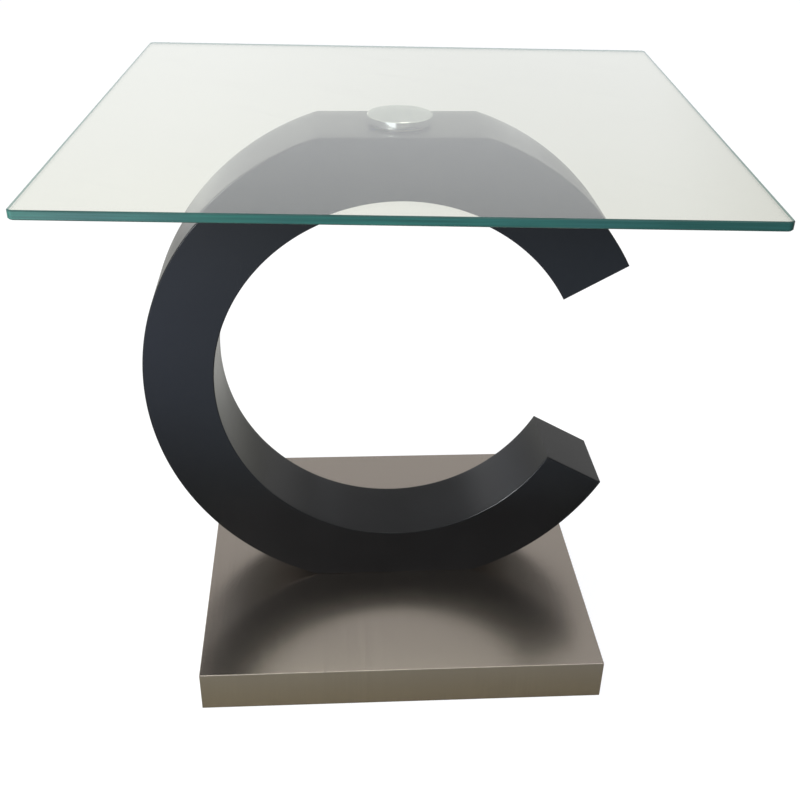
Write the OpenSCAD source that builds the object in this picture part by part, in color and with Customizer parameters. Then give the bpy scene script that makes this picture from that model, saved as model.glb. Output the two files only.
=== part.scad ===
// Side table: a square glass top on one bonded disc, a C-shaped column and a steel-clad plinth.
// Lengths are in millimetres and angles in degrees. X runs to the right, Y to the back and Z up.
// The origin is on the floor, straight below the pivot that the glass top turns on.

/* [Glass top] */
// Width of the glass pane, left to right
glass_w = 600; // [450:10:900]
// Depth of the glass pane, front to back
glass_d = 600; // [450:10:900]
// Thickness of the glass pane
glass_t = 8; // [6:1:15]
// Radius of the pane's corners, seen from above
glass_corner_r = 6; // [4:1:60]
// Width of the ground arris along the pane's edges
glass_arris = 1; // [0.4:0.1:2]
// Turn of the top about its pivot, anticlockwise seen from above
top_turn = -3.3; // [-45:0.1:45]

/* [Disc and pivot] */
// Diameter of the metal disc bonded under the glass
disc_d = 65; // [50:1:90]
// Height of the metal disc
disc_h = 8; // [6:0.5:16]
// Chamfer on the disc's edges
disc_chamfer = 0.8; // [0.3:0.1:2]
// Metal left above the disc's blind threaded hole
disc_web = 2; // [1:0.5:4]
// Thickness of the clear adhesive film between disc and glass
film_t = 0.2; // [0.1:0.05:1]
// How far the film stays back from the disc's edge
film_inset = 1.5; // [0:0.5:4]
// Thickness of the nylon washer that the disc turns on
thrust_t = 1.8; // [1:0.1:4]
// How far the nylon washer stays back from the disc's edge
thrust_inset = 4; // [1:0.5:10]
// Diameter of the pivot bolt's shank
pivot_d = 8; // [6:1:12]
// Radial clearance of the pivot bolt in its steel sleeve
pivot_clearance = 0.05; // [0.02:0.01:0.1]
// Radial clearance of the pivot bolt in everything but its sleeve
loose_clearance = 0.4; // [0.3:0.1:1]
// Wall of the steel sleeve
sleeve_wall = 2; // [1:0.5:4]
// Diameter of the pivot bolt's head
pivot_head_d = 13; // [13:1:18]
// Height of the pivot bolt's head
pivot_head_h = 8; // [5:0.5:12]
// Diameter of the washer under the pivot bolt's head
pivot_washer_d = 20; // [18:1:26]
// Thickness of the washer under the pivot bolt's head
pivot_washer_t = 2; // [1:0.5:4]
// Radial clearance of that washer in its pocket
pocket_clearance = 1; // [0.5:0.5:3]
// Free height in the pocket below the bolt's head
pocket_room = 3; // [1:0.5:8]

/* [Pocket cover] */
// Height of the cover's stem inside the pocket
cover_stem = 6; // [3:0.5:10]
// Wall of the cover's hollow stem
cover_wall = 1.5; // [1:0.5:3]
// Thickness of the cover's rim
cover_rim_t = 1.5; // [1:0.1:3]
// How far the rim reaches past the pocket
cover_rim = 2.5; // [1:0.5:6]

/* [Column] */
// Outer radius of the C-shaped column
ring_r = 273; // [240:1:320]
// Width of the column's band, from its outer curve to its inner one
ring_wall = 75; // [62:1:95]
// Depth of the column, front to back
ring_depth = 96; // [84:1:140]
// Height cut off the circle for the flat that stands on the plinth
seat_cut = 16.5; // [10:0.5:24]
// Height cut off the circle for the flat below the glass
top_cut = 12.5; // [8:0.5:24]
// Angle of the upper arm's end above the level through the centre
mouth_up = 29.5; // [20:0.5:45]
// Angle of the lower arm's end below the level through the centre
mouth_low = 29; // [20:0.5:45]
// Radius on the column's visible long edges
edge_r = 2.5; // [0.5:0.1:4]

/* [Column boards] */
// Thickness of the front and back panels
panel_t = 12; // [9:1:18]
// Thickness of the bent skins on the outer curve
outer_skin_t = 5; // [3:0.5:8]
// Thickness of the bent skin on the inner curve
inner_skin_t = 5; // [3:0.5:8]
// Thickness of the boards behind the two flats
flat_board_t = 9; // [6:1:15]
// Thickness of the boards that close the two arm ends
end_cap_t = 12; // [6:1:18]
// Thickness of the ribs inside the column
rib_t = 12; // [6:1:18]
// Width of the block that holds the pivot sleeve
top_block_w = 120; // [80:1:130]
// Width of the block that holds the threaded inserts
low_block_w = 150; // [130:1:160]

/* [Plinth] */
// Width of the plinth, left to right
base_w = 440; // [360:5:560]
// Depth of the plinth, front to back
base_d = 440; // [360:5:560]
// Thickness of the brushed steel sheet
sheet_t = 1; // [0.6:0.1:2]
// Inner radius of the sheet's folds
fold_in_r = 0.5; // [0.3:0.1:1]
// Thickness of the plinth's upper board
upper_board_t = 25; // [18:1:32]
// Thickness of the plinth's lower board
lower_board_t = 18; // [15:1:25]
// Thickness of the black sheet that closes the underside
underlay_t = 3; // [2:0.5:6]

/* [Plinth bolts] */
// Distance between the plinth bolts, left to right
bolt_pitch_x = 100; // [60:1:112]
// Distance between the plinth bolts, front to back
bolt_pitch_y = 36; // [28:1:42]
// Diameter of the plinth bolts' shanks
bolt_d = 8; // [6:1:10]
// Radial clearance of the plinth bolts in the boards
bolt_clearance = 0.5; // [0.3:0.1:1]
// Diameter of the plinth bolts' heads
bolt_head_d = 13; // [13:1:16]
// Height of the plinth bolts' heads
bolt_head_h = 8; // [5:0.5:10]
// Depth of the bolts' thread in the inserts
bolt_bite = 14; // [8:1:18]
// Size across the flats of the hexagon sockets in all bolt heads
hex_key = 6; // [4:0.5:7]
// Depth of the hexagon sockets
hex_depth = 4; // [2:0.5:4.5]
// Diameter of the plinth bolts' washers
washer_d = 22; // [18:1:26]
// Thickness of the plinth bolts' washers
washer_t = 2; // [1:0.5:3]
// Radial clearance round the washers in the access holes
access_clearance = 2; // [1:0.5:5]
// Wall of the threaded inserts
insert_wall = 2; // [1:0.5:3]
// Length of the threaded inserts
insert_len = 20; // [18:1:28]

/* [Glides] */
// Diameter of the glides
glide_d = 28; // [20:1:45]
// Height of the glides
glide_h = 3; // [3:0.5:8]
// Distance of the glides' centres from the plinth's sides
glide_inset = 38; // [26:1:90]
// Diameter of the glide screws' shanks
screw_d = 3.5; // [2.5:0.5:5]
// Diameter of the glide screws' heads
screw_head_d = 7; // [6:0.5:9]
// How far the screws' heads stay above the floor
screw_recess = 0.6; // [0.3:0.1:1]
// Depth of the glide screws in the plinth's lower board
screw_bite = 11; // [6:1:14]

/* [Hidden] */
$fn = 64;
ring_fn = 240;
eps = 0.01;

// Heights of the plinth's layers above the floor
plinth_z = glide_h;
lower_board_z = plinth_z + underlay_t;
upper_board_z = lower_board_z + lower_board_t;
sheet_z = upper_board_z + upper_board_t;
seat_z = sheet_z + sheet_t;
plinth_h = seat_z - plinth_z;
core_w = base_w - 2 * sheet_t;
core_d = base_d - 2 * sheet_t;
fold_r = sheet_t + fold_in_r;

// Radii of the column, its flats about its own centre, and its hollow
ring_in = ring_r - ring_wall;
outer_skin_in = ring_r - outer_skin_t;
inner_skin_out = ring_in + inner_skin_t;
seat_rise = ring_r - seat_cut;
top_rise = ring_r - top_cut;
column_h = seat_rise + top_rise;
hollow_depth = ring_depth - 2 * panel_t;
centre_z = seat_z + seat_rise;
flat_z = centre_z + top_rise;

// Ribs stand at even steps between the blocks, and midway along each arm
top_block_angle = asin(top_block_w / 2 / inner_skin_out);
low_block_angle = asin(low_block_w / 2 / inner_skin_out);
rib_count = 5;
rib_first = 90 + top_block_angle;
rib_step = (180 - top_block_angle - low_block_angle) / (rib_count + 1);
rib_upper_angle = (mouth_up + 90 - top_block_angle) / 2;
rib_lower_angle = -(mouth_low + 90 - low_block_angle) / 2;

// Heights of the pivot's pieces above the floor
disc_z = flat_z + thrust_t;
film_z = disc_z + disc_h;
glass_z = film_z + film_t;
pocket_z = centre_z + ring_in;
pocket_depth = cover_stem + pocket_room + pivot_head_h + pivot_washer_t;
pocket_top_z = pocket_z + pocket_depth;
pocket_r = pivot_washer_d / 2 + pocket_clearance;
pivot_bolt_z = pocket_top_z - pivot_washer_t;
pivot_len = disc_z + disc_h - disc_web - pivot_bolt_z;
sleeve_r = pivot_d / 2 + pivot_clearance + sleeve_wall;
loose_r = pivot_d / 2 + loose_clearance;

// Plinth bolts, from the washers below the upper board up into the inserts
bolt_z = upper_board_z - washer_t;
bolt_len = washer_t + upper_board_t + sheet_t + flat_board_t + bolt_bite;
bolt_hole_r = bolt_d / 2 + bolt_clearance;
access_r = washer_d / 2 + access_clearance;
insert_z = seat_z + flat_board_t;
insert_r = bolt_d / 2 + insert_wall;

// Colours as seen in the photograph, and of the usual stock inside
lacquer = [0.17, 0.18, 0.2];
raw_board = [0.66, 0.53, 0.38];
steel_sheet = [0.6, 0.56, 0.5];
bright_steel = [0.78, 0.78, 0.8];
zinc = [0.7, 0.7, 0.66];
clear_glass = [0.55, 0.78, 0.72, 0.45];
nylon = [0.9, 0.9, 0.86];
black_plastic = [0.1, 0.1, 0.1];

// Plate with round corners, whose edge section is given for the span from $low to $half
module rounded_plate(w, d, corner_r) {
    for (side = [0, 1]) {
        mirror([side, 0, 0])
            rotate([90, 0, 0])
                linear_extrude(height = d - 2 * corner_r, center = true)
                    let ($half = w / 2, $low = -corner_r) children();
        mirror([0, side, 0])
            rotate([90, 0, 90])
                linear_extrude(height = w - 2 * corner_r, center = true)
                    let ($half = d / 2, $low = -corner_r) children();
    }
    for (x = [-1, 1], y = [-1, 1])
        translate([x * (w / 2 - corner_r), y * (d / 2 - corner_r), 0])
            rotate_extrude()
                let ($half = corner_r, $low = 0) children();
}

// Edge of the glass: upright, with an arris above and below
module glass_section() {
    polygon([
        [$low, 0], [$half - glass_arris, 0], [$half, glass_arris],
        [$half, glass_t - glass_arris], [$half - glass_arris, glass_t], [$low, glass_t]
    ]);
}

// Edge of the steel sheet: upright, with the fold's radius above
module sheet_section() {
    difference() {
        translate([$low, 0])
            square([$half - $low, plinth_h]);
        translate([$half - fold_r, plinth_h - fold_r])
            difference() {
                square(fold_r + eps);
                circle(r = fold_r);
            }
    }
}

// Ring of a given outer and inner radius
module tube(r_out, r_in, h) {
    difference() {
        cylinder(r = r_out, h = h);
        translate([0, 0, -eps])
            cylinder(r = r_in, h = h + 2 * eps);
    }
}

// Bolt head with a hexagon socket, hanging below the level of its seat
module socket_head(head_d, head_h) {
    translate([0, 0, -head_h])
        difference() {
            cylinder(d = head_d, h = head_h);
            translate([0, 0, -eps])
                cylinder(r = hex_key / sqrt(3), h = hex_depth + eps, $fn = 6);
        }
}

module at_bolts() {
    for (x = [-1, 1], y = [-1, 1])
        translate([x * bolt_pitch_x / 2, y * bolt_pitch_y / 2, 0])
            children();
}

module at_glides() {
    for (x = [-1, 1], y = [-1, 1])
        translate([x * (base_w / 2 - glide_inset), y * (base_d / 2 - glide_inset), 0])
            children();
}

// Column's own frame: x to the right, y up from its centre, z to the front
module column_frame() {
    translate([0, 0, centre_z])
        rotate([90, 0, 0])
            children();
}

// What lies between the seat on the plinth and the flat below the glass
module between_flats() {
    intersection() {
        children();
        translate([-ring_r - eps, -seat_rise, -ring_depth])
            cube([2 * (ring_r + eps), column_h, 2 * ring_depth]);
    }
}

// Bent strip between two angles, as deep as the column's hollow
module bent_strip(r_in, r_out, from, to) {
    rotate([0, 0, from])
        rotate_extrude(angle = to - from, $fn = ring_fn)
            translate([r_in, -hollow_depth / 2])
                square([r_out - r_in, hollow_depth]);
}

// Part of the column's hollow that a box from [x, y] with the given size covers
module hollow_piece(x, y, w, h) {
    intersection() {
        difference() {
            cylinder(r = outer_skin_in, h = hollow_depth, center = true, $fn = ring_fn);
            cylinder(r = inner_skin_out, h = hollow_depth + 2 * eps, center = true, $fn = ring_fn);
        }
        translate([x, y, -ring_depth])
            cube([w, h, 2 * ring_depth]);
    }
}

// Section of a side panel, inner face at 0, with its two visible edges rounded
module panel_section() {
    translate([ring_in, 0])
        square([ring_wall, panel_t - edge_r]);
    translate([ring_in + edge_r, 0])
        square([ring_wall - 2 * edge_r, panel_t]);
    for (r = [ring_in + edge_r, ring_r - edge_r])
        translate([r, panel_t - edge_r])
            circle(r = edge_r);
}

module side_panel() {
    between_flats()
        translate([0, 0, hollow_depth / 2])
            rotate([0, 0, mouth_up])
                rotate_extrude(angle = 360 - mouth_up - mouth_low, $fn = ring_fn)
                    panel_section();
}

module rib(angle) {
    color(raw_board)
        column_frame()
            rotate([0, 0, angle])
                hollow_piece(0, -rib_t / 2, ring_r, rib_t);
}

module glass_top() {
    color(clear_glass)
        rotate([0, 0, top_turn])
            translate([0, 0, glass_z])
                rounded_plate(glass_w, glass_d, glass_corner_r)
                    glass_section();
}

module bond_film() {
    color(clear_glass)
        translate([0, 0, film_z])
            cylinder(d = disc_d - 2 * film_inset, h = film_t);
}

module bond_disc() {
    disc_r = disc_d / 2;
    thread_h = disc_h - disc_web;
    color(bright_steel)
        translate([0, 0, disc_z])
            rotate_extrude($fn = 128)
                polygon([
                    [pivot_d / 2, 0], [disc_r - disc_chamfer, 0], [disc_r, disc_chamfer],
                    [disc_r, disc_h - disc_chamfer], [disc_r - disc_chamfer, disc_h],
                    [0, disc_h], [0, thread_h], [pivot_d / 2, thread_h]
                ]);
}

module pivot_bolt() {
    color(zinc)
        rotate([0, 0, top_turn])
            translate([0, 0, pivot_bolt_z]) {
                cylinder(d = pivot_d, h = pivot_len);
                socket_head(pivot_head_d, pivot_head_h);
            }
}

module thrust_washer() {
    color(nylon)
        translate([0, 0, flat_z])
            tube(disc_d / 2 - thrust_inset, loose_r, thrust_t);
}

module pivot_sleeve() {
    color(zinc)
        translate([0, 0, pocket_top_z])
            tube(sleeve_r, pivot_d / 2 + pivot_clearance, flat_z - pocket_top_z);
}

module pivot_washer() {
    color(nylon)
        translate([0, 0, pivot_bolt_z])
            tube(pivot_washer_d / 2, loose_r, pivot_washer_t);
}

// Round cover: a rim cut to the column's inner curve and a hollow stem in the pocket
module pocket_cover() {
    rim_r = pocket_r + cover_rim;
    rim_drop = ring_in - sqrt(ring_in * ring_in - rim_r * rim_r);
    rim_h = rim_drop + cover_rim_t;
    color(black_plastic) {
        translate([0, 0, pocket_z - eps])
            tube(pocket_r, pocket_r - cover_wall, cover_stem + eps);
        translate([0, 0, pocket_z - rim_h])
            cylinder(r = pocket_r, h = rim_h);
        intersection() {
            translate([0, 0, pocket_z - rim_h])
                cylinder(r = rim_r, h = rim_h);
            column_frame()
                cylinder(r = ring_in, h = ring_depth, center = true, $fn = ring_fn);
        }
    }
}

module front_panel() {
    color(lacquer)
        column_frame()
            side_panel();
}

module back_panel() {
    color(lacquer)
        column_frame()
            mirror([0, 0, 1])
                side_panel();
}

module outer_skin(from, to) {
    color(lacquer)
        column_frame()
            between_flats()
                bent_strip(outer_skin_in, ring_r, from, to);
}

module outer_skin_left() {
    outer_skin(90, 270);
}

module outer_skin_upper() {
    outer_skin(mouth_up, 90);
}

module outer_skin_lower() {
    outer_skin(270, 360 - mouth_low);
}

module inner_skin() {
    color(lacquer)
        difference() {
            column_frame()
                bent_strip(ring_in, inner_skin_out, mouth_up, 360 - mouth_low);
            translate([0, 0, centre_z])
                cylinder(r = pocket_r, h = ring_r);
        }
}

module top_flat_board() {
    color(lacquer)
        difference() {
            column_frame()
                hollow_piece(-ring_r, top_rise - flat_board_t, 2 * ring_r, flat_board_t);
            translate([0, 0, centre_z])
                cylinder(r = sleeve_r, h = ring_r);
        }
}

module seat_board() {
    color(lacquer)
        difference() {
            column_frame()
                hollow_piece(-ring_r, -seat_rise, 2 * ring_r, flat_board_t);
            at_bolts()
                cylinder(r = bolt_hole_r, h = centre_z);
        }
}

module upper_end_cap() {
    color(lacquer)
        column_frame()
            rotate([0, 0, mouth_up])
                hollow_piece(0, 0, ring_r, end_cap_t);
}

module lower_end_cap() {
    color(lacquer)
        column_frame()
            rotate([0, 0, -mouth_low])
                hollow_piece(0, -end_cap_t, ring_r, end_cap_t);
}

module top_block() {
    color(raw_board)
        difference() {
            column_frame()
                hollow_piece(-top_block_w / 2, 0, top_block_w, top_rise - flat_board_t);
            translate([0, 0, centre_z])
                cylinder(r = sleeve_r, h = ring_r);
            translate([0, 0, centre_z])
                cylinder(r = pocket_r, h = pocket_top_z - centre_z);
        }
}

module seat_block() {
    color(raw_board)
        difference() {
            column_frame()
                hollow_piece(-low_block_w / 2, flat_board_t - seat_rise, low_block_w, seat_rise - flat_board_t);
            at_bolts()
                cylinder(r = insert_r, h = insert_z + insert_len);
        }
}

module threaded_inserts() {
    color(zinc)
        at_bolts()
            translate([0, 0, insert_z])
                tube(insert_r, bolt_d / 2, insert_len);
}

module plinth_bolts() {
    color(zinc)
        at_bolts()
            translate([0, 0, bolt_z]) {
                cylinder(d = bolt_d, h = bolt_len);
                socket_head(bolt_head_d, bolt_head_h);
            }
}

module plinth_washers() {
    color(zinc)
        at_bolts()
            translate([0, 0, bolt_z])
                tube(washer_d / 2, bolt_hole_r, washer_t);
}

module plinth_cladding() {
    color(steel_sheet)
        translate([0, 0, plinth_z])
            difference() {
                rounded_plate(base_w, base_d, fold_r)
                    sheet_section();
                translate([-core_w / 2, -core_d / 2, -eps])
                    cube([core_w, core_d, plinth_h - sheet_t + eps]);
                at_bolts()
                    cylinder(r = bolt_hole_r, h = 2 * plinth_h);
            }
}

module plinth_upper_board() {
    color(raw_board)
        difference() {
            translate([-core_w / 2, -core_d / 2, upper_board_z])
                cube([core_w, core_d, upper_board_t]);
            at_bolts()
                cylinder(r = bolt_hole_r, h = seat_z);
        }
}

module plinth_lower_board() {
    color(raw_board)
        difference() {
            translate([-core_w / 2, -core_d / 2, lower_board_z])
                cube([core_w, core_d, lower_board_t]);
            at_bolts()
                cylinder(r = access_r, h = seat_z);
            at_glides()
                cylinder(d = screw_d, h = lower_board_z + screw_bite);
        }
}

module plinth_underlay() {
    color(black_plastic)
        difference() {
            translate([-core_w / 2, -core_d / 2, plinth_z])
                cube([core_w, core_d, underlay_t]);
            at_bolts()
                cylinder(r = access_r, h = seat_z);
            at_glides()
                cylinder(d = screw_d, h = seat_z);
        }
}

// Countersunk screw head and shank, seen from the floor up
module screw_shape() {
    cone_h = (screw_head_d - screw_d) / 2;
    translate([0, 0, screw_recess])
        cylinder(d1 = screw_head_d, d2 = screw_d, h = cone_h);
    translate([0, 0, screw_recess])
        cylinder(d = screw_d, h = lower_board_z + screw_bite - screw_recess);
}

module foot_glides() {
    color(black_plastic)
        at_glides()
            difference() {
                cylinder(d = glide_d, h = glide_h);
                screw_shape();
                translate([0, 0, -eps])
                    cylinder(d = screw_head_d, h = screw_recess + eps);
            }
}

module glide_screws() {
    color(zinc)
        at_glides()
            screw_shape();
}

glass_top();
bond_film();
bond_disc();
pivot_bolt();
thrust_washer();
pivot_sleeve();
pivot_washer();
pocket_cover();
front_panel();
back_panel();
outer_skin_left();
outer_skin_upper();
outer_skin_lower();
inner_skin();
top_flat_board();
seat_board();
upper_end_cap();
lower_end_cap();
top_block();
seat_block();
rib(rib_first + rib_step);  // rib_left_1
rib(rib_first + 2 * rib_step);  // rib_left_2
rib(rib_first + 3 * rib_step);  // rib_left_3
rib(rib_first + 4 * rib_step);  // rib_left_4
rib(rib_first + 5 * rib_step);  // rib_left_5
rib(rib_upper_angle);  // rib_upper
rib(rib_lower_angle);  // rib_lower
threaded_inserts();
plinth_bolts();
plinth_washers();
plinth_cladding();
plinth_upper_board();
plinth_lower_board();
plinth_underlay();
foot_glides();
glide_screws();
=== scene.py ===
"""Side table with a glass top on a C-shaped lacquered column and a steel-clad plinth.

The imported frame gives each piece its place. This file gives the visible pieces their finished shapes,
every piece its surface finish, and the table a pale floor, soft light and a camera.
"""
from math import cos, pi, radians, sin, sqrt

import bmesh
import bpy
from bpy.props import FloatProperty, FloatVectorProperty, IntProperty, PointerProperty
from mathutils import Matrix, Vector


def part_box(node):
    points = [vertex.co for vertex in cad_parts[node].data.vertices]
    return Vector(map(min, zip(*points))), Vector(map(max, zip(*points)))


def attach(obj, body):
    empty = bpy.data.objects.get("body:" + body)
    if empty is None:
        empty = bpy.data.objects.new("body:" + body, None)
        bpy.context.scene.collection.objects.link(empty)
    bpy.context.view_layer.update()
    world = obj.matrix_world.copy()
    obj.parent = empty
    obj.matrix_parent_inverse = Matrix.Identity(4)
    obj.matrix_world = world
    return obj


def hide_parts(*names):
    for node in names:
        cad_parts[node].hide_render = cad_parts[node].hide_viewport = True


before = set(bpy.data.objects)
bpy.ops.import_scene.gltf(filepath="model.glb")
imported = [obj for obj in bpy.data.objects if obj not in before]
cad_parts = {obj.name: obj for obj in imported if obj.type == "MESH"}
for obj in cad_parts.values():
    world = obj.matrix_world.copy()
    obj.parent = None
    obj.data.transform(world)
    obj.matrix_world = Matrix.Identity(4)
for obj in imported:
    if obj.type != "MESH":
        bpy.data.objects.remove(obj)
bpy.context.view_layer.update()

bl_info = {
    "name": "Glass-top side table",
    "version": (1, 0, 0),
    "blender": (4, 5, 0),
    "location": "3D View > Sidebar > Table",
    "description": "Finished pieces of a side table with a glass top, a C-shaped column and a clad plinth",
    "category": "Add Mesh",
}

FULL_TURN = 2 * pi
MERGE = 1e-6
SHARP = radians(32)
DAYLIGHT = (0.94, 0.975, 1.0)
BOARD_STEP = radians(1)
STRAIGHT = radians(0.1)


def length(name, description, default):
    """A size in metres."""
    return FloatProperty(
        name=name, description=description, default=default, min=0, precision=5, unit="LENGTH"
    )


def angle(name, description, degrees):
    """An angle, written in degrees and kept in radians."""
    return FloatProperty(name=name, description=description, default=radians(degrees), unit="ROTATION")


def share(name, description, default):
    """A number from 0 to 1."""
    return FloatProperty(name=name, description=description, default=default, min=0, max=1, subtype="FACTOR")


def colour(name, description, default):
    """A linear colour."""
    return FloatVectorProperty(
        name=name, description=description, default=default, size=3, min=0, max=1, subtype="COLOR"
    )


class TableSizes(bpy.types.PropertyGroup):
    """Sizes of the pieces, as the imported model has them."""

    pane_width: length("Pane width", "Width of the glass pane", 0.6)
    pane_depth: length("Pane depth", "Depth of the glass pane", 0.6)
    pane_corner: length("Pane corner", "Radius of the pane's corners, seen from above", 0.006)
    pane_arris: length("Pane arris", "Width of the ground arris along the pane's edges", 0.001)
    pane_turn: angle("Pane turn", "Turn of the top about its pivot", -3.3)
    disc_chamfer: length("Disc chamfer", "Chamfer on the edges of the bonded disc", 0.0008)
    thread_radius: length("Thread radius", "Radius of the blind thread in the disc", 0.004)
    disc_web: length("Disc web", "Metal left above the blind thread", 0.002)
    bore_radius: length("Washer bore", "Radius of the bore in the nylon washer", 0.0044)
    ring_radius: length("Ring radius", "Outer radius of the C-shaped column", 0.273)
    ring_wall: length("Ring wall", "Width of the column's band", 0.075)
    ring_centre: length("Ring centre", "Height of the column's centre above the floor", 0.3065)
    mouth_up: angle("Upper arm", "Angle of the upper arm's end above the centre", 29.5)
    mouth_low: angle("Lower arm", "Angle of the lower arm's end below the centre", 29)
    skin: length("Skin", "Thickness of the bent skins", 0.005)
    edge_radius: length("Edge radius", "Radius on the edges of the column's front and back", 0.0025)
    pocket_radius: length("Pocket radius", "Radius of the pocket below the pivot", 0.011)
    cover_wall: length("Cover wall", "Wall of the pocket cover's stem", 0.0015)
    cover_round: length("Cover rounding", "Radius on the pocket cover's lower edge", 0.0006)
    sheet: length("Sheet", "Thickness of the steel sheet", 0.001)
    fold: length("Fold radius", "Outer radius of the folded sheet's edges", 0.0007)
    bolt_hole: length("Bolt hole", "Radius of the plinth bolts' holes", 0.0045)
    bolt_pitch: length("Bolt pitch", "Distance between the plinth bolts, left to right", 0.1)
    bolt_rows: length("Bolt rows", "Distance between the plinth bolts, front to back", 0.036)
    glide_radius: length("Glide radius", "Radius of the glides", 0.014)
    glide_round: length("Glide rounding", "Radius on the glides' lower edge", 0.0008)
    screw_radius: length("Screw radius", "Radius of the glide screws' shanks", 0.00175)
    screw_head: length("Screw head", "Radius of the glide screws' heads", 0.0035)
    screw_recess: length("Screw recess", "How far the screws' heads stay above the floor", 0.0006)
    round_steps: IntProperty(
        name="Rounding steps", description="Faces across a rounded edge", default=4, min=1
    )


class TableColours(bpy.types.PropertyGroup):
    """Colours and gloss of the finishes."""

    lacquer: colour("Lacquer", "Near-black satin lacquer of the column", (0.0036, 0.0039, 0.0046))
    lacquer_gloss: share("Lacquer roughness", "Roughness of the satin lacquer", 0.2)
    steel: colour("Steel", "Brushed stainless sheet", (0.69, 0.61, 0.535))
    steel_gloss: share("Steel roughness", "Roughness of the brushed sheet", 0.205)
    pane: colour("Glass", "Tint of the clear glass", (0.975, 0.985, 0.905))
    edge_green: colour("Edge green", "Green of the polished glass edge", (0.022, 0.155, 0.115))
    edge_blue: colour("Edge blue", "Bluish stretches of the glass edge", (0.028, 0.105, 0.107))
    edge_deep: colour("Edge deep", "Dark stretches of the glass edge", (0.015, 0.07, 0.065))
    edge_pale: colour("Edge pale", "Greyish stretches of the glass edge", (0.07, 0.13, 0.13))
    arris: colour("Arris", "Ground arris of the glass", (0.02, 0.062, 0.056))
    edge_inside: colour("Edge from inside", "What the edge lets out from inside", (0.26, 0.38, 0.35))
    disc: colour("Disc", "Polished steel of the bonded disc", (0.86, 0.93, 0.95))
    zinc: colour("Zinc", "Zinc-plated steel of the fixings", (0.62, 0.61, 0.57))
    nylon: colour("Nylon", "Natural nylon of the washers", (0.78, 0.77, 0.71))
    plastic: colour("Plastic", "Black plastic of the glides and the pocket cover", (0.014, 0.014, 0.015))
    board: colour("Board", "Raw wood-fibre board", (0.4, 0.27, 0.16))


class StageSettings(bpy.types.PropertyGroup):
    """Floor, light and camera."""

    lens: FloatProperty(
        name="Lens", description="Focal length on a 36 mm sensor", default=49.387, unit="CAMERA"
    )
    camera_place: FloatVectorProperty(
        name="Camera place", description="Where the camera stands", size=3, subtype="XYZ", unit="LENGTH",
        default=(-0.07657, -1.10101, 0.8699),
    )
    camera_pitch: angle("Pitch", "How far the camera looks down", 33.05)
    camera_yaw: angle("Yaw", "How far the camera looks to the right", 4.29)
    camera_roll: angle("Roll", "How far the camera leans", -1.2)
    shift_x: FloatProperty(name="Shift X", description="Sideways shift of the lens", default=0.00214)
    shift_y: FloatProperty(name="Shift Y", description="Upward shift of the lens", default=0.10034)
    floor_size: length("Floor size", "Side of the square floor", 30)
    floor_gap: length("Floor gap", "How far the floor lies below the glides", 0.0002)
    floor_white: share("Floor paint", "How much light the floor gives back", 0.17)


class Wire:
    """One output of a shader node. Arithmetic on wires and numbers adds Math nodes."""

    def __init__(self, tree, socket=None):
        self.tree = tree
        self.socket = socket

    def node(self, kind, settings=None, sockets=None, output=0):
        """Adds any node: its settings first, then a value or a wire for each of its sockets."""
        made = self.tree.nodes.new(kind)
        for name, value in (settings or {}).items():
            if name == "stops":
                set_stops(made.color_ramp, value)
            else:
                setattr(made, name, value)
        for name, value in (sockets or {}).items():
            if isinstance(value, Wire):
                self.tree.links.new(value.socket, made.inputs[name])
            else:
                made.inputs[name].default_value = value
        return Wire(self.tree, made.outputs[output] if made.outputs else None)

    def maths(self, operation, first, second):
        """One Math node on two numbers or wires."""
        return self.node("ShaderNodeMath", {"operation": operation}, {0: first, 1: second})

    def __add__(self, other):
        return self.maths("ADD", self, other)

    __radd__ = __add__

    def __sub__(self, other):
        return self.maths("SUBTRACT", self, other)

    def __rsub__(self, other):
        return self.maths("SUBTRACT", other, self)

    def __mul__(self, other):
        return self.maths("MULTIPLY", self, other)

    __rmul__ = __mul__

    def __abs__(self):
        return self.maths("ABSOLUTE", self, 0)

    def root(self):
        return self.maths("SQRT", self, 0)

    def spread(self, low, high):
        """0 below low, 1 above high, and a smooth step between them."""
        limits = {"Value": self, "From Min": low, "From Max": high}
        return self.node("ShaderNodeMapRange", {"interpolation_type": "SMOOTHSTEP"}, limits)

    def between(self, first, second):
        """Mixes two colours, or colour wires, by this wire."""
        sockets = {0: self, 6: first, 7: second}
        return self.node("ShaderNodeMix", {"data_type": "RGBA"}, sockets, output=2)

    def stretched(self, x, y, z):
        """This vector with each axis times its own number."""
        return self.node("ShaderNodeVectorMath", {"operation": "MULTIPLY"}, {0: self, 1: (x, y, z)})

    def turned(self, about_z):
        """This vector turned about Z."""
        return self.node("ShaderNodeMapping", None, {"Vector": self, "Rotation": (0, 0, about_z)})

    def noise(self, scale, detail=2.0, rough=0.5):
        """Soft noise at this place, about 0.5, with this many waves to the metre."""
        sockets = {"Vector": self, "Scale": scale, "Detail": detail, "Roughness": rough}
        return self.node("ShaderNodeTexNoise", None, sockets)

    def bump(self, depth):
        """A surface normal from this height, which is depth metres from 0 to 1."""
        sockets = {"Height": self, "Distance": depth, "Strength": 1.0}
        return self.node("ShaderNodeBump", None, sockets)

    def axes(self):
        """The three parts of this vector."""
        split = self.node("ShaderNodeSeparateXYZ", None, {0: self}).socket.node
        return [Wire(self.tree, socket) for socket in split.outputs]


def set_stops(ramp, stops):
    """Fills a colour ramp from (place, colour) pairs."""
    while len(ramp.elements) < len(stops):
        ramp.elements.new(1)
    for element, (place, tint) in zip(ramp.elements, stops):
        element.position = place
        element.color = solid(tint)


def solid(tint):
    """A colour with its alpha, from a grey or three numbers."""
    if isinstance(tint, (int, float)):
        return (tint, tint, tint, 1)
    return (*tint, 1)


def shade(tint, factor):
    """A colour made lighter or darker."""
    return solid([min(1, part * factor) for part in tint])


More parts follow.
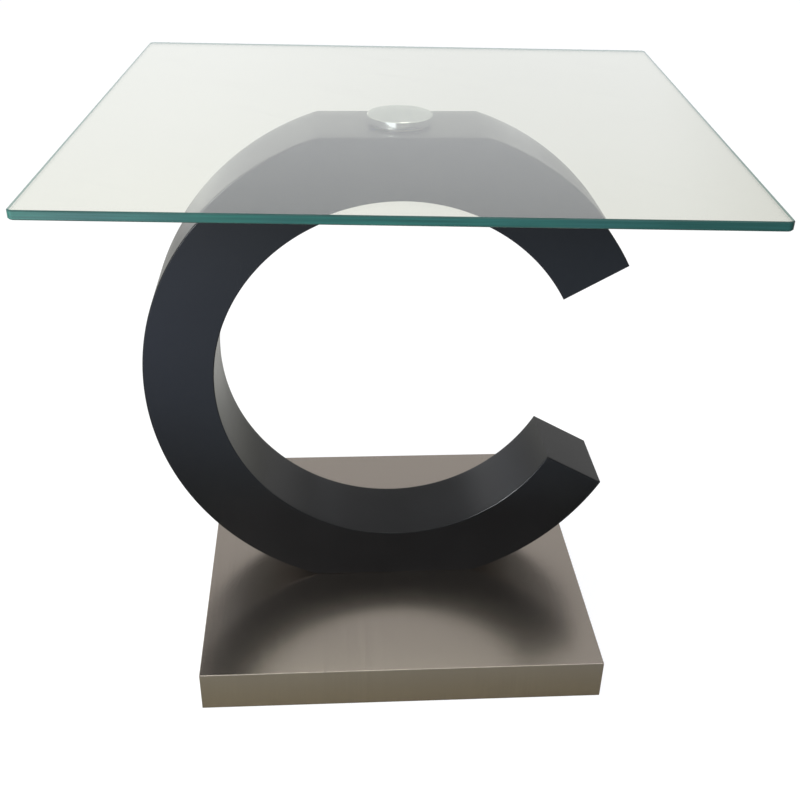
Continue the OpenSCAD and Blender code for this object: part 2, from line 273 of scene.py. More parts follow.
def new_finish(name):
    """A material with no nodes, and its place in the object's own coordinates."""
    material = bpy.data.materials.new(name)
    material.use_nodes = True
    material.node_tree.nodes.clear()
    start = Wire(material.node_tree)
    return material, start.node("ShaderNodeTexCoord", output="Object")


def surface(material, shader):
    """Sends a shader to the material's output."""
    shader.node("ShaderNodeOutputMaterial", None, {"Surface": shader})
    return material


def inside_clear(material, shader, tint):
    """A coloured edge of the glass from outside, which lets light out where it is met from inside."""
    inside = shader.node("ShaderNodeNewGeometry", output="Backfacing")
    clear = shader.node("ShaderNodeBsdfTransparent", None, {"Color": solid(tint)})
    return surface(material, shader.node("ShaderNodeMixShader", None, {0: inside, 1: shader, 2: clear}))


def principled(place, sockets):
    """The main shader, with a value or a wire for each of these sockets."""
    return place.node("ShaderNodeBsdfPrincipled", None, sockets)


def satin_lacquer(colours):
    """Sprayed satin lacquer: near black, with a faint orange peel and soft clouds."""
    material, place = new_finish("satin_lacquer")
    cloud = place.noise(11, 3).spread(0.3, 0.7)
    peel = place.noise(430, 2)
    rubbed = place.noise(19, 2).spread(0.3, 0.75)
    tint = cloud.between(solid(colours.lacquer), shade(colours.lacquer, 1.25))
    return surface(material, principled(place, {
        "Base Color": tint,
        "Roughness": colours.lacquer_gloss + 0.02 * cloud + 0.03 * rubbed + 0.01 * peel,
        "IOR": 1.45,
        "Normal": peel.bump(14e-6),
    }))


def brushed_steel(colours):
    """Brushed stainless sheet: fine lines from front to back that run down its folds."""
    material, place = new_finish("brushed_steel")
    normal = place.node("ShaderNodeNewGeometry", output="True Normal")
    x, y, z = place.axes()
    side = abs(normal.axes()[0])
    lines = place.node("ShaderNodeCombineXYZ", None, {0: x * 420, 1: y * 3, 2: z * (8 + 412 * side)})
    coarse = lines.noise(1, 2)
    fine = lines.stretched(4, 2, 4).noise(1, 3, 0.7)
    cloud = place.noise(7, 3).spread(0.25, 0.75)
    grain = coarse.spread(0.2, 0.8).between(shade(colours.steel, 0.96), shade(colours.steel, 1.03))
    return surface(material, principled(place, {
        "Base Color": cloud.between(grain, shade(colours.steel, 0.97)),
        "Metallic": 1.0,
        "Roughness": colours.steel_gloss + 0.04 * fine + 0.02 * cloud,
        "Normal": (16e-6 * (0.4 * coarse + fine)).bump(1),
    }))


def pane_glass(colours):
    """Clear float glass with faint wiping smears and a little dust."""
    material, place = new_finish("pane_glass")
    wipe = place.turned(radians(35)).stretched(1, 5, 1).noise(7, 4, 0.6).spread(0.52, 0.8)
    blot = place.noise(5, 3).spread(0.4, 0.75)
    dust = place.noise(900, 2).spread(0.68, 0.8)
    glass = principled(place, {
        "Base Color": solid(colours.pane),
        "Roughness": 0.0,
        "IOR": 1.52,
        "Transmission Weight": 1.0,
    })
    film = principled(place, {"Base Color": solid((0.75, 0.76, 0.74)), "Roughness": 0.6})
    haze = 0.016 * wipe + 0.008 * blot + 0.014 * dust
    return surface(material, place.node("ShaderNodeMixShader", None, {0: haze, 1: glass, 2: film}))


def pane_edge(colours):
    """Polished edge of the pane, painted opaque: the green is the glass's own tint, and its brightness, its
    streaks of green and blue and its dark and pale stretches are painted light seen through the depth of the
    glass.
    """
    material, place = new_finish("pane_edge")
    along = place.turned(radians(3.3))
    # Streaks and dark and pale stretches: painted light seen through the glass's depth, over its own green.
    streak = along.stretched(12, 12, 700).noise(1, 3, 0.6)
    patch = along.noise(7, 2).spread(0.35, 0.65)
    deep = along.noise(4, 2).spread(0.4, 0.72)
    pale = along.noise(5, 3).spread(0.5, 0.72)
    hue = patch.between(solid(colours.edge_green), solid(colours.edge_blue))
    depth = streak.spread(0.25, 0.75).between(solid(colours.edge_deep), hue)
    depth = (0.25 * pale).between(depth, solid(colours.edge_pale))
    return inside_clear(material, principled(place, {
        "Base Color": (0.6 * deep).between(depth, solid(colours.edge_deep)),
        "Roughness": 0.12 + 0.1 * streak,
        "IOR": 1.52,
        "Normal": streak.bump(8e-6),
    }), colours.edge_inside)


def pane_arris(colours):
    """Polished arris between the pane's face and its edge, darker than the edge: the dark colour is painted
    shade.
    """
    material, place = new_finish("pane_arris")
    grit = place.noise(1500, 3)
    wave = place.noise(12, 2).spread(0.3, 0.7)
    return inside_clear(material, principled(place, {
        # Dark teal arris colour: painted shade along the pane's rims.
        "Base Color": wave.between(solid(colours.arris), shade(colours.arris, 1.5)),
        "Roughness": 0.15 + 0.15 * grit,
        "IOR": 1.52,
        "Normal": grit.bump(6e-6),
    }), colours.edge_inside)


def polished_disc(colours):
    """Polished steel disc, turned on a lathe."""
    material, place = new_finish("polished_disc")
    x, y, z = place.axes()
    radius = (x * x + y * y).root()
    ring = place.node("ShaderNodeCombineXYZ", None, {0: radius * 2600, 1: z * 2600}).noise(1, 2)
    cloud = place.noise(60, 3)
    return surface(material, principled(place, {
        "Base Color": (0.4 * cloud).between(solid(colours.disc), shade(colours.disc, 0.8)),
        "Metallic": 1.0,
        "Roughness": 0.05 + 0.06 * ring + 0.05 * cloud,
        "Normal": ring.bump(1.5e-6),
    }))


def zinc_plate(colours):
    """Zinc-plated steel with its cloudy crystal pattern."""
    material, place = new_finish("zinc_plate")
    crystal = place.noise(320, 3)
    cloud = place.noise(60, 2)
    return surface(material, principled(place, {
        "Base Color": crystal.between(shade(colours.zinc, 0.8), shade(colours.zinc, 1.15)),
        "Metallic": 1.0,
        "Roughness": 0.28 + 0.14 * crystal + 0.08 * cloud,
        "Normal": crystal.bump(6e-6),
    }))


def natural_nylon(colours):
    """Natural nylon, slightly waxy."""
    material, place = new_finish("natural_nylon")
    mottle = place.noise(500, 3)
    return surface(material, principled(place, {
        "Base Color": (0.5 * mottle).between(solid(colours.nylon), shade(colours.nylon, 0.82)),
        "Roughness": 0.4 + 0.15 * mottle,
        "Subsurface Weight": 0.15,
        "Subsurface Scale": 0.001,
        "Normal": mottle.bump(8e-6),
    }))


def bond_film(colours):
    """Cured clear adhesive with a few trapped bubbles, and mint-to-teal swirls that are painted glints."""
    material, place = new_finish("clear_bond")
    bubble = place.noise(520, 2).spread(0.68, 0.74)
    swirl_and_glint = place.noise(70, 3)
    return surface(material, principled(place, {
        # Mint-to-teal swirls: painted glints over the clear adhesive.
        "Base Color": (0.6 * swirl_and_glint).between(solid((0.84, 0.93, 0.92)), solid((0.7, 0.84, 0.82))),
        "Roughness": 0.2 + 0.2 * swirl_and_glint,
        "Alpha": 0.1 + 0.08 * swirl_and_glint + 0.2 * bubble,
        "IOR": 1.48,
    }))


def black_plastic(colours):
    """Moulded black plastic with a fine spark-eroded grain."""
    material, place = new_finish("moulded_plastic")
    grain = place.noise(1700, 3)
    scuff = place.noise(90, 4, 0.65).spread(0.55, 0.8)
    return surface(material, principled(place, {
        "Base Color": (0.6 * scuff).between(solid(colours.plastic), shade(colours.plastic, 2.4)),
        "Roughness": 0.45 + 0.12 * grain + 0.1 * scuff,
        "Normal": grain.bump(25e-6),
    }))


def underlay(colours):
    """Black sheet that closes the plinth's underside, with a leathery grain."""
    material, place = new_finish("black_underlay")
    grain = place.noise(650, 4, 0.6)
    dust = place.noise(40, 4).spread(0.5, 0.85)
    return surface(material, principled(place, {
        "Base Color": (0.5 * dust).between(shade(colours.plastic, 1.3), shade(colours.plastic, 3)),
        "Roughness": 0.7 + 0.15 * grain,
        "Normal": grain.bump(60e-6),
    }))


def raw_board(colours):
    """Wood-fibre board: short pale and dark fibres, and a denser skin."""
    material, place = new_finish("raw_board")
    fibre = place.stretched(1, 1, 3).noise(420, 5, 0.7)
    fleck = place.stretched(1, 3, 1).noise(900, 2).spread(0.58, 0.68)
    tint = fibre.between(shade(colours.board, 0.72), shade(colours.board, 1.25))
    return surface(material, principled(place, {
        "Base Color": (0.7 * fleck).between(tint, shade(colours.board, 0.4)),
        "Roughness": 0.75 + 0.15 * fibre,
        "Normal": fibre.bump(80e-6),
    }))


FINISHES = {
    "satin_lacquer": satin_lacquer,
    "brushed_steel": brushed_steel,
    "pane_glass": pane_glass,
    "pane_edge": pane_edge,
    "pane_arris": pane_arris,
    "polished_disc": polished_disc,
    "zinc_plate": zinc_plate,
    "natural_nylon": natural_nylon,
    "clear_bond": bond_film,
    "moulded_plastic": black_plastic,
    "black_underlay": underlay,
    "raw_board": raw_board,
}

KEPT_NODES = {
    "satin_lacquer": ["top_flat_board", "seat_board", "upper_end_cap", "lower_end_cap"],
    "zinc_plate": [
        "pivot_bolt", "pivot_sleeve", "threaded_inserts", "plinth_bolts", "plinth_washers", "glide_screws",
    ],
    "natural_nylon": ["pivot_washer"],
    "raw_board": [
        "top_block", "seat_block", "rib_left_1", "rib_left_2", "rib_left_3", "rib_left_4", "rib_left_5",
        "rib_upper", "rib_lower", "plinth_upper_board", "plinth_lower_board",
    ],
    "black_underlay": ["plinth_underlay"],
}


def finish(name):
    """The finish of this name, made when it is first asked for."""
    colours = bpy.context.scene.table_colours
    return bpy.data.materials.get(name) or FINISHES[name](colours)


def make_piece(bm, name, body, finishes, nodes):
    """Makes a shown piece of a bmesh: outward, smooth between its sharp edges, riding on its body."""
    bmesh.ops.recalc_face_normals(bm, faces=bm.faces)
    for face in bm.faces:
        face.smooth = True
    for edge in bm.edges:
        if edge.is_manifold and edge.calc_face_angle() > SHARP:
            edge.smooth = False
    mesh = bpy.data.meshes.new(name)
    bm.to_mesh(mesh)
    bm.free()
    for finish_name in finishes:
        mesh.materials.append(finish(finish_name))
    piece = bpy.data.objects.new(name, mesh)
    bpy.context.scene.collection.objects.link(piece)
    even = piece.modifiers.new("even_normals", "WEIGHTED_NORMAL")
    even.keep_sharp = True
    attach(piece, body)
    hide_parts(*nodes)
    return piece


def round_edges(bm, edges, radius, steps):
    """Rounds these edges, or with one step chamfers them."""
    bmesh.ops.bevel(
        bm, geom=edges, offset=radius, segments=steps, profile=0.5, affect="EDGES", clamp_overlap=True,
        material=-1,
    )


def turned_part(points, steps, centre=(0, 0)):
    """A part turned about an upright axis, from (radius, height) points that go round its section."""
    bm = bmesh.new()
    verts = [bm.verts.new((centre[0] + radius, centre[1], height)) for radius, height in points]
    closed = points[0][0] > MERGE
    pairs = zip(verts, verts[1:] + verts[:1] if closed else verts[1:])
    edges = [bm.edges.new(pair) for pair in pairs]
    bmesh.ops.spin(
        bm, geom=verts + edges, cent=(*centre, 0), axis=(0, 0, 1), angle=FULL_TURN, steps=steps,
        use_merge=True,
    )
    bmesh.ops.remove_doubles(bm, verts=bm.verts, dist=MERGE)
    return bm


def drill(piece, radius, places, low, high):
    """Drills upright holes through a piece."""
    bm = bmesh.new()
    for x, y in places:
        put = Matrix.Translation((x, y, (low + high) / 2))
        bmesh.ops.create_cone(
            bm, cap_ends=True, segments=48, radius1=radius, radius2=radius, depth=high - low, matrix=put
        )
    mesh = bpy.data.meshes.new("drill")
    bm.to_mesh(mesh)
    bm.free()
    tool = bpy.data.objects.new("drill", mesh)
    bpy.context.scene.collection.objects.link(tool)
    hole = piece.modifiers.new("hole", "BOOLEAN")
    hole.operation = "DIFFERENCE"
    hole.solver = "EXACT"
    hole.object = tool
    piece.modifiers.move(len(piece.modifiers) - 1, 0)
    even = piece.modifiers["even_normals"]
    even.show_viewport = False
    drilled = bpy.data.meshes.new_from_object(piece.evaluated_get(bpy.context.evaluated_depsgraph_get()))
    even.show_viewport = True
    piece.modifiers.remove(hole)
    bpy.data.objects.remove(tool)
    bpy.data.meshes.remove(mesh)
    old = piece.data
    title = old.name
    piece.data = drilled
    bpy.data.meshes.remove(old)
    drilled.name = title


def bent_board(sizes, inner, outer, front, back, start, stop):
    """A board bent round the ring's level axis, from one angle to another in steps of about a degree."""
    bm = bmesh.new()
    corners = []
    for radius, y in ((inner, front), (outer, front), (outer, back), (inner, back)):
        corners.append(bm.verts.new((radius * cos(start), y, sizes.ring_centre + radius * sin(start))))
    section = bm.faces.new(corners)
    bmesh.ops.spin(
        bm, geom=[section, *section.edges, *section.verts], cent=(0, 0, sizes.ring_centre), axis=(0, -1, 0),
        angle=stop - start, steps=round((stop - start) / BOARD_STEP),
    )
    bmesh.ops.remove_doubles(bm, verts=bm.verts, dist=MERGE)
    trim_to_flats(bm)
    bmesh.ops.dissolve_limit(bm, angle_limit=STRAIGHT, verts=bm.verts, edges=bm.edges)
    bmesh.ops.recalc_face_normals(bm, faces=bm.faces)
    return bm


def trim_to_flats(bm):
    """Cuts off what reaches past the column's two flats and closes the cuts."""
    seat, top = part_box("front_panel")[0].z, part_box("front_panel")[1].z
    for level, way in ((seat, -1), (top, 1)):
        everything = bm.verts[:] + bm.edges[:] + bm.faces[:]
        cut = bmesh.ops.bisect_plane(
            bm, geom=everything, dist=MERGE / 10, plane_co=(0, 0, level), plane_no=(0, 0, way),
            clear_outer=True,
        )
        rim = [part for part in cut["geom_cut"] if isinstance(part, bmesh.types.BMEdge)]
        if rim:
            bmesh.ops.edgeloop_fill(bm, edges=rim)


def face_edges(bm, level):
    """Edges round the face that lies at this level of y."""
    return [edge for edge in bm.edges if all(abs(vert.co.y - level) < MERGE for vert in edge.verts)]


class TableOperator:
    """What the table's operators share."""

    bl_options = {"REGISTER", "UNDO"}


class TABLE_OT_pane(TableOperator, bpy.types.Operator):
    """Make the glass pane with round corners, ground arrises and green edges"""

    bl_idname = "table.pane"
    bl_label = "Glass pane"

    def execute(self, context):
        sizes = context.scene.table_sizes
        low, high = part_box("glass_top")
        thickness = high.z - low.z
        put = Matrix.Translation((0, 0, (low.z + high.z) / 2))
        stretch = Matrix.Diagonal((sizes.pane_width, sizes.pane_depth, thickness, 1))
        bm = bmesh.new()
        bmesh.ops.create_cube(bm, size=1, matrix=put @ stretch)
        upright = [e for e in bm.edges if abs(e.verts[0].co.z - e.verts[1].co.z) > thickness / 2]
        round_edges(bm, upright, sizes.pane_corner, 3 * sizes.round_steps)
        rims = [e for e in bm.edges if abs(e.verts[0].co.z - e.verts[1].co.z) < MERGE]
        round_edges(bm, rims, sizes.pane_arris, 1)
        bmesh.ops.recalc_face_normals(bm, faces=bm.faces)
        for face in bm.faces:
            up = abs(face.normal.z)
            face.material_index = 0 if up > 0.99 else 1 if up > 0.3 else 2
        turn = Matrix.Rotation(sizes.pane_turn, 3, "Z")
        bmesh.ops.rotate(bm, cent=(0, 0, 0), matrix=turn, verts=bm.verts)
        finishes = ["pane_glass", "pane_arris", "pane_edge"]
        make_piece(bm, "glass_pane", "top", finishes, ["glass_top"])
        return {"FINISHED"}


class TABLE_OT_disc(TableOperator, bpy.types.Operator):
    """Make the adhesive film, the polished disc and the nylon washer below it"""

    bl_idname = "table.disc"
    bl_label = "Disc, film and washer"

    def execute(self, context):
        sizes = context.scene.table_sizes
        self.make_film()
        self.make_disc(sizes)
        self.make_washer(sizes)
        return {"FINISHED"}

    def make_film(self):
        low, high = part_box("bond_film")
        gap = 0.05 * (high.z - low.z)
        bm = bmesh.new()
        put = Matrix.Translation((0, 0, low.z + gap))
        disc = bmesh.ops.create_circle(bm, cap_ends=True, segments=128, radius=high.x, matrix=put)
        face = disc["verts"][0].link_faces[0]
        raised = bmesh.ops.extrude_face_region(bm, geom=[face], use_keep_orig=True)["geom"]
        verts = [part for part in raised if isinstance(part, bmesh.types.BMVert)]
        bmesh.ops.translate(bm, verts=verts, vec=(0, 0, high.z - low.z - 2 * gap))
        make_piece(bm, "adhesive_film", "top", ["clear_bond"], ["bond_film"])

    def make_disc(self, sizes):
        low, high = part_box("bond_disc")
        radius, chamfer = high.x, sizes.disc_chamfer
        bottom, top = low.z, high.z
        web = top - sizes.disc_web
        bm = turned_part([
            (0, web), (sizes.thread_radius, web), (sizes.thread_radius, bottom), (radius - chamfer, bottom),
            (radius, bottom + chamfer), (radius, top - chamfer), (radius - chamfer, top), (0, top),
        ], 128)
        make_piece(bm, "polished_disc", "top", ["polished_disc"], ["bond_disc"])

    def make_washer(self, sizes):
        low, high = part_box("thrust_washer")
        bore, radius = sizes.bore_radius, high.x
        bm = turned_part([(bore, low.z), (radius, low.z), (radius, high.z), (bore, high.z)], 96)
        outer = [e for e in bm.edges if min(Vector(v.co.xy).length for v in e.verts) > radius - MERGE]
        rims = [e for e in outer if abs(e.verts[0].co.z - e.verts[1].co.z) < MERGE]
        round_edges(bm, rims, (high.z - low.z) / 6, 2)
        make_piece(bm, "nylon_washer", "stand", ["natural_nylon"], ["thrust_washer"])


class TABLE_OT_panels(TableOperator, bpy.types.Operator):
    """Make the column's front and back panels with their rounded edges"""

    bl_idname = "table.panels"
    bl_label = "Front and back panels"

    def execute(self, context):
        sizes = context.scene.table_sizes
        inner = sizes.ring_radius - sizes.ring_wall
        for node, title in (("front_panel", "front_ring_panel"), ("back_panel", "back_ring_panel")):
            low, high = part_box(node)
            outside = low.y if node == "front_panel" else high.y
            bm = bent_board(
                sizes, inner, sizes.ring_radius, low.y, high.y, sizes.mouth_up, FULL_TURN - sizes.mouth_low
            )
            round_edges(bm, face_edges(bm, outside), sizes.edge_radius, sizes.round_steps)
            make_piece(bm, title, "stand", ["satin_lacquer"], [node])
        return {"FINISHED"}


class TABLE_OT_skins(TableOperator, bpy.types.Operator):
    """Make the bent skins on the column's outer and inner curves"""

    bl_idname = "table.skins"
    bl_label = "Bent skins"

    def execute(self, context):
        sizes = context.scene.table_sizes
        outer, inner = sizes.ring_radius, sizes.ring_radius - sizes.ring_wall
        top, bottom = pi / 2, 3 * pi / 2
        start, stop = sizes.mouth_up, FULL_TURN - sizes.mouth_low
        self.make_skin(sizes, "outer_skin_left", "left_outer_skin", outer - sizes.skin, outer, top, bottom)
        self.make_skin(sizes, "outer_skin_upper", "upper_outer_skin", outer - sizes.skin, outer, start, top)
        self.make_skin(sizes, "outer_skin_lower", "lower_outer_skin", outer - sizes.skin, outer, bottom, stop)
        outside = inner + sizes.skin
        lining = self.make_skin(sizes, "inner_skin", "inner_ring_skin", inner, outside, start, stop)
        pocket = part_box("inner_skin")[1].z
        drill(lining, sizes.pocket_radius, [(0, 0)], pocket - 4 * sizes.skin, pocket + sizes.skin)
        return {"FINISHED"}

    def make_skin(self, sizes, node, title, inner, outer, start, stop):
        low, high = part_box(node)
        bm = bent_board(sizes, inner, outer, low.y, high.y, start, stop)
        return make_piece(bm, title, "stand", ["satin_lacquer"], [node])


class TABLE_OT_cover(TableOperator, bpy.types.Operator):
    """Make the round cover of the pivot's pocket, with its rim cut to the column's inner curve"""

    bl_idname = "table.cover"
    bl_label = "Pocket cover"

    def execute(self, context):
        sizes = context.scene.table_sizes
        low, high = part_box("pocket_cover")
        rim, stem = high.x, sizes.pocket_radius
        bore = stem - sizes.cover_wall
        inner = sizes.ring_radius - sizes.ring_wall
        pocket = sizes.ring_centre + inner
        bm = turned_part([
            (0, low.z), (rim, low.z), (rim, pocket), (stem, pocket), (stem, high.z), (bore, high.z),
            (bore, pocket), (0, pocket),
        ], 96)
        for vert in bm.verts:
            radius = vert.co.xy.length
            if radius > stem - MERGE and abs(vert.co.z - pocket) < MERGE:
                vert.co.z = sizes.ring_centre + sqrt(inner ** 2 - vert.co.x ** 2) - 2 * MERGE
        lowest = [e for e in bm.edges if all(abs(v.co.z - low.z) < MERGE for v in e.verts)]
        rims = [e for e in lowest if all(v.co.xy.length > rim - MERGE for v in e.verts)]
        round_edges(bm, rims, sizes.cover_round, 3)
        make_piece(
            bm, "round_pocket_cover", "stand", ["moulded_plastic"], ["pocket_cover"]
        )
        return {"FINISHED"}


class TABLE_OT_cladding(TableOperator, bpy.types.Operator):
    """Make the plinth's brushed sheet with its folded edges and bolt holes"""

    bl_idname = "table.cladding"
    bl_label = "Plinth cladding"

    def execute(self, context):
        sizes = context.scene.table_sizes
        low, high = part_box("plinth_cladding")
        size = high - low
        bm = bmesh.new()
        put = Matrix.Translation((low + high) / 2)
        bmesh.ops.create_cube(bm, size=1, matrix=put @ Matrix.Diagonal((*size, 1)))
        floor_face = min(bm.faces, key=lambda face: face.calc_center_median().z)
        bmesh.ops.delete(bm, geom=[floor_face], context="FACES_ONLY")
        folds = [e for e in bm.edges if not e.is_boundary]
        round_edges(bm, folds, sizes.fold, sizes.round_steps)
        bmesh.ops.recalc_face_normals(bm, faces=bm.faces)
        bmesh.ops.solidify(bm, geom=bm.faces, thickness=sizes.sheet)
        sheet = make_piece(
            bm, "steel_cladding", "stand", ["brushed_steel"], ["plinth_cladding"]
        )
        x, y = sizes.bolt_pitch / 2, sizes.bolt_rows / 2
        places = [(-x, -y), (x, -y), (-x, y), (x, y)]
        drill(sheet, sizes.bolt_hole, places, high.z - 5 * sizes.sheet, high.z + 5 * sizes.sheet)
        return {"FINISHED"}


class TABLE_OT_glides(TableOperator, bpy.types.Operator):
    """Make the four round glides with countersunk screw holes"""

    bl_idname = "table.glides"
    bl_label = "Glides"

    def execute(self, context):
        sizes = context.scene.table_sizes
        low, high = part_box("foot_glides")
        radius, shank, head = sizes.glide_radius, sizes.screw_radius, sizes.screw_head
        seat = low.z + sizes.screw_recess
        parts = bmesh.new()
        for x in (low.x + radius, high.x - radius):
            for y in (low.y + radius, high.y - radius):
                bm = turned_part([
                    (shank, high.z), (radius, high.z), (radius, low.z), (head, low.z), (head, seat),
                    (shank, seat + head - shank),
                ], 64, (x, y))
                centre = Vector((x, y))
                lowest = [e for e in bm.edges if all(v.co.z < low.z + MERGE for v in e.verts)]
                rims = [
                    e for e in lowest if all((v.co.xy - centre).length > radius - MERGE for v in e.verts)
                ]
                round_edges(bm, rims, sizes.glide_round, 3)
                mesh = bpy.data.meshes.new("glide")
                bm.to_mesh(mesh)
                bm.free()
                parts.from_mesh(mesh)
                bpy.data.meshes.remove(mesh)
        make_piece(parts, "round_glides", "stand", ["moulded_plastic"], ["foot_glides"])
        return {"FINISHED"}


class TABLE_OT_kept(TableOperator, bpy.types.Operator):
    """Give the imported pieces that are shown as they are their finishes"""

    bl_idname = "table.kept"
    bl_label = "Packed pieces"

    def execute(self, context):
        for finish_name, nodes in KEPT_NODES.items():
            for node in nodes:
                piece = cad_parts[node]
                for slot in piece.material_slots:
                    slot.material = finish(finish_name)
        return {"FINISHED"}


def pale_floor(stage):
    """Floor paint: white to the camera, softer in mirrors and through glass, with a soft shadow. Its glow in
    mirrors and through glass is painted light.
    """
    material, place = new_finish("pale_floor")
    x, y, z = place.axes()
    path = place.node("ShaderNodeLightPath").socket.node
    rays = ("Is Camera Ray", "Is Glossy Ray", "Is Transmission Ray")
    seen, mirrored, through = (Wire(place.tree, path.outputs[name]) for name in rays)
    mirrored = mirrored * (1 - through)
    mottle = place.noise(60, 4)
    background = seen.between(solid(0), solid((0.93, 0.935, 0.97)))
    # Seen through glass, the floor glows lighter to the left: painted light.
    behind_glass = x.spread(-0.6, 0.5).between(solid(0.738), solid(0.616))
    glow = through.between(background, behind_glass)
    glow = mirrored.between(glow, mirrored_floor(x, y))
    pale = (stage.floor_white, 0.98 * stage.floor_white, 0.75 * stage.floor_white)
    paint = (0.4 * mottle).between(solid(pale), shade(pale, 0.96))
    diffuse = place.node("ShaderNodeBsdfDiffuse", None, {"Color": paint})
    light = place.node("ShaderNodeEmission", None, {"Color": glow})
    both = place.node("ShaderNodeAddShader", None, {0: diffuse, 1: light})
    clear = place.node("ShaderNodeBsdfTransparent")
    below = place.node("ShaderNodeNewGeometry", output="Backfacing")
    return surface(material, place.node("ShaderNodeMixShader", None, {0: below, 1: both, 2: clear}))


def mirrored_floor(x, y):
    """The floor's glow as lacquer and steel mirror it, painted light: painted shade, dim close round and in
    front of the plinth, and painted bluish window light further off.
    """
    corner = (x * y).spread(0.05, 0.3)
    away = (x * x + y * y).root()
    nearer = x.spread(-0.2, 0.15).between(solid(0.58), solid(0.4))
    behind = away.spread(1.5, 3.4).between(nearer, solid(1.15))
    behind = (0 - x - 0.42 * away).spread(-0.15, 0.15).between(behind, solid(0.38))
    # Painted shade close round the plinth, lighter further off.
    around = away.spread(0.3, 0.62).between(solid(0.06), corner.between(behind, solid(0.3)))
    left = (0 - x).spread(0.1, 0.5)
    near = left.between(solid((0.4, 0.5, 0.7)), solid((0.58, 0.7, 1.1)))
    # Painted bluish window light, further off to the left.
    distant = (0 - x).spread(0.45, 0.8).between(solid((0.02, 0.03, 0.04)), solid((1.25, 1.35, 1.45)))
    window_side = away.spread(1.3, 1.8).between(near, distant)
    # Painted shade close in front of the plinth, then the painted window light.
    in_front = (0 - y).spread(0.2, 0.6 + 0.25 * left).between(solid((0.015, 0.005, 0)), window_side)
    return (0 - y).spread(-0.15, 0.15).between(around, in_front)


def studio_light(world):
    """Soft studio round the table: brighter low down, where pale walls stand, and white to the camera."""
    world.use_nodes = True
    world.node_tree.nodes.clear()
    start = Wire(world.node_tree)
    x, y, up = start.node("ShaderNodeTexCoord", output="Generated").axes()
    back = [
        (0.0, 0.95), (0.1, 0.95), (0.19, (1.07, 1.1, 1.15)), (0.27, (1.03, 1.06, 1.12)),
        (0.34, (0.93, 0.96, 1.0)), (0.4, 0.38), (0.46, 0.29), (0.54, 0.378), (0.6, 0.37), (0.67, 0.31),
        (1.0, 0.62),
    ]
    back_left = [
        (0.0, 0.4), (0.1, (0.49, 0.5, 0.52)), (0.2, (0.72, 0.74, 0.78)), (0.35, 0.78), (0.46, 0.43),
        (1.0, 0.62),
    ]
    back_right = [(0.0, 0.48), (0.17, 0.46), (0.3, 0.32), (0.42, 0.24), (0.6, 0.34), (1.0, 0.62)]
    front = [(0.0, 0.42), (0.2, 0.4), (0.35, 0.3), (0.48, 0.22), (0.66, 0.22), (1.0, 0.6)]
    sides = (back, back_left, back_right, front)
    back, back_left, back_right, front = (
        up.node("ShaderNodeValToRGB", {"stops": stops}, {0: up}) for stops in sides
    )
    walls = (0 - x).spread(0.33, 0.5).between(back, back_left)
    walls = (0 - y).spread(-0.2, 0.3).between(walls, front)
    walls = (x * y).spread(0.25, 0.4).between(walls, back_right)
    path = start.node("ShaderNodeLightPath").socket.node
    rays = ("Is Camera Ray", "Is Transmission Ray")
    seen, through = (Wire(start.tree, path.outputs[name]) for name in rays)
    light = through.between(walls, solid(0.76))
    light = seen.between(light, solid(1))
    sky = start.node("ShaderNodeBackground", None, {"Color": light})
    sky.node("ShaderNodeOutputWorld", None, {"Surface": sky})


def softbox(name, place, aim, width, height, radiance, tint=(1, 1, 1), mirrored=True):
    """A rectangular lamp, equally bright from all its front. Gloss and glass show it only if mirrored."""
    data = bpy.data.lights.new(name, "AREA")
    data.shape = "RECTANGLE"
    data.size = width
    data.size_y = height
    data.energy = radiance * pi * width * height
    data.color = tint
    lamp = bpy.data.objects.new(name, data)
    bpy.context.scene.collection.objects.link(lamp)
    lamp.location = place
    lamp.visible_glossy = mirrored
    lamp.visible_transmission = mirrored
    lamp.rotation_euler = (Vector(aim) - Vector(place)).to_track_quat("-Z", "Y").to_euler()


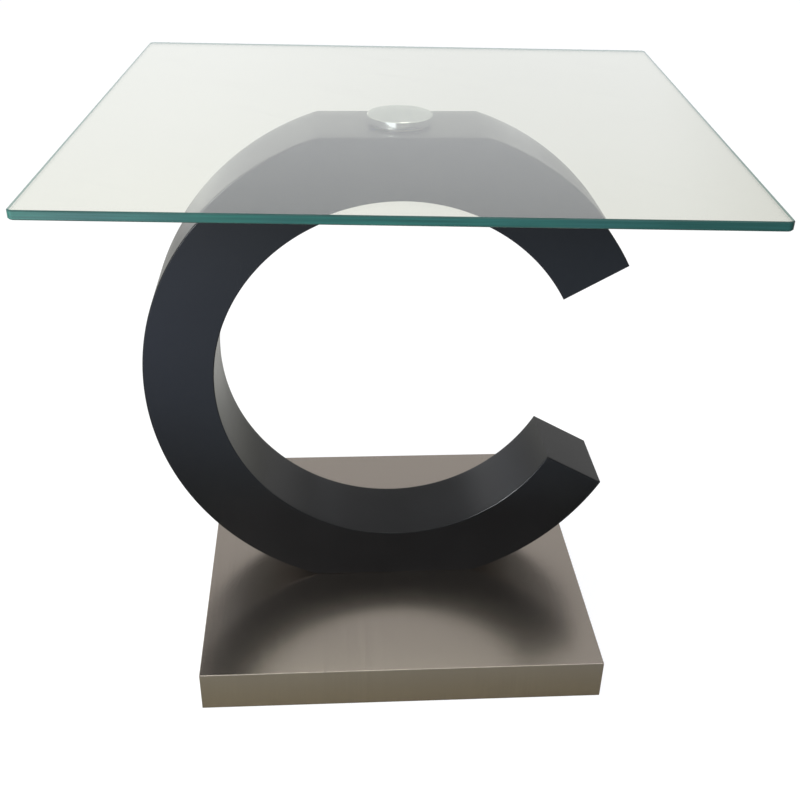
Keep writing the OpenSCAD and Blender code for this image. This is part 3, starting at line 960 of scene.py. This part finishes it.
class TABLE_OT_stage(bpy.types.Operator):
    """Set up the pale floor, the soft light and the camera"""

    bl_idname = "table.stage"
    bl_label = "Stage"
    bl_options = {"REGISTER", "UNDO"}

    def execute(self, context):
        scene = context.scene
        stage = scene.table_stage
        bm = bmesh.new()
        under = Matrix.Translation((0, 0, -stage.floor_gap))
        bmesh.ops.create_grid(bm, x_segments=1, y_segments=1, size=stage.floor_size / 2, matrix=under)
        mesh = bpy.data.meshes.new("floor")
        bm.to_mesh(mesh)
        bm.free()
        mesh.materials.append(pale_floor(stage))
        floor = bpy.data.objects.new("floor", mesh)
        scene.collection.objects.link(floor)
        scene.world = bpy.data.worlds.new("studio")
        studio_light(scene.world)
        softbox(
            "window", place=(-1.1, -1.615, 0.83), aim=(0.12, -0.05, 0.4), width=0.8, height=0.45,
            radiance=38, tint=DAYLIGHT,
        )
        softbox(
            "side_window", place=(-1.92, -0.55, 0.75), aim=(0, 0, 0.5), width=1.45, height=0.9,
            radiance=4, tint=DAYLIGHT, mirrored=False,
        )
        softbox(
            "ceiling", place=(0.2, 0.3, 2.7), aim=(0, 0, 0.3), width=1.8, height=1.8, radiance=1.4,
        )
        scene.view_settings.view_transform = "Standard"
        self.place_camera(scene, stage)
        return {"FINISHED"}

    def place_camera(self, scene, stage):
        data = bpy.data.cameras.new("camera")
        data.sensor_width = 36
        data.lens = stage.lens
        data.shift_x = stage.shift_x
        data.shift_y = stage.shift_y
        data.clip_end = 100
        camera = bpy.data.objects.new("camera", data)
        scene.collection.objects.link(camera)
        yaw = Matrix.Rotation(-stage.camera_yaw, 4, "Z")
        pitch = Matrix.Rotation(pi / 2 - stage.camera_pitch, 4, "X")
        roll = Matrix.Rotation(-stage.camera_roll, 4, "Z")
        camera.matrix_world = Matrix.Translation(stage.camera_place) @ yaw @ pitch @ roll
        scene.camera = camera


class TABLE_PT_sidebar(bpy.types.Panel):
    """Lists the table's pieces, sizes and colours"""

    bl_idname = "TABLE_PT_sidebar"
    bl_label = "Side table"
    bl_space_type = "VIEW_3D"
    bl_region_type = "UI"
    bl_category = "Table"

    def draw(self, context):
        layout = self.layout
        for operator in OPERATORS:
            layout.operator(operator.bl_idname)
        for group in (context.scene.table_sizes, context.scene.table_colours, context.scene.table_stage):
            box = layout.box()
            for name in group.__annotations__:
                box.prop(group, name)


GROUPS = {"table_sizes": TableSizes, "table_colours": TableColours, "table_stage": StageSettings}
OPERATORS = (
    TABLE_OT_pane,
    TABLE_OT_disc,
    TABLE_OT_panels,
    TABLE_OT_skins,
    TABLE_OT_cover,
    TABLE_OT_cladding,
    TABLE_OT_glides,
    TABLE_OT_kept,
    TABLE_OT_stage,
)


def register():
    for name, group in GROUPS.items():
        bpy.utils.register_class(group)
        setattr(bpy.types.Scene, name, PointerProperty(type=group))
    for item in (*OPERATORS, TABLE_PT_sidebar):
        bpy.utils.register_class(item)


def unregister():
    for item in (TABLE_PT_sidebar, *reversed(OPERATORS)):
        bpy.utils.unregister_class(item)
    for name, group in GROUPS.items():
        delattr(bpy.types.Scene, name)
        bpy.utils.unregister_class(group)


def main():
    """Makes every piece and the stage."""
    register()
    bpy.ops.table.pane()
    bpy.ops.table.disc()
    bpy.ops.table.panels()
    bpy.ops.table.skins()
    bpy.ops.table.cover()
    bpy.ops.table.cladding()
    bpy.ops.table.glides()
    bpy.ops.table.kept()
    bpy.ops.table.stage()


if __name__ == "__main__":
    main()
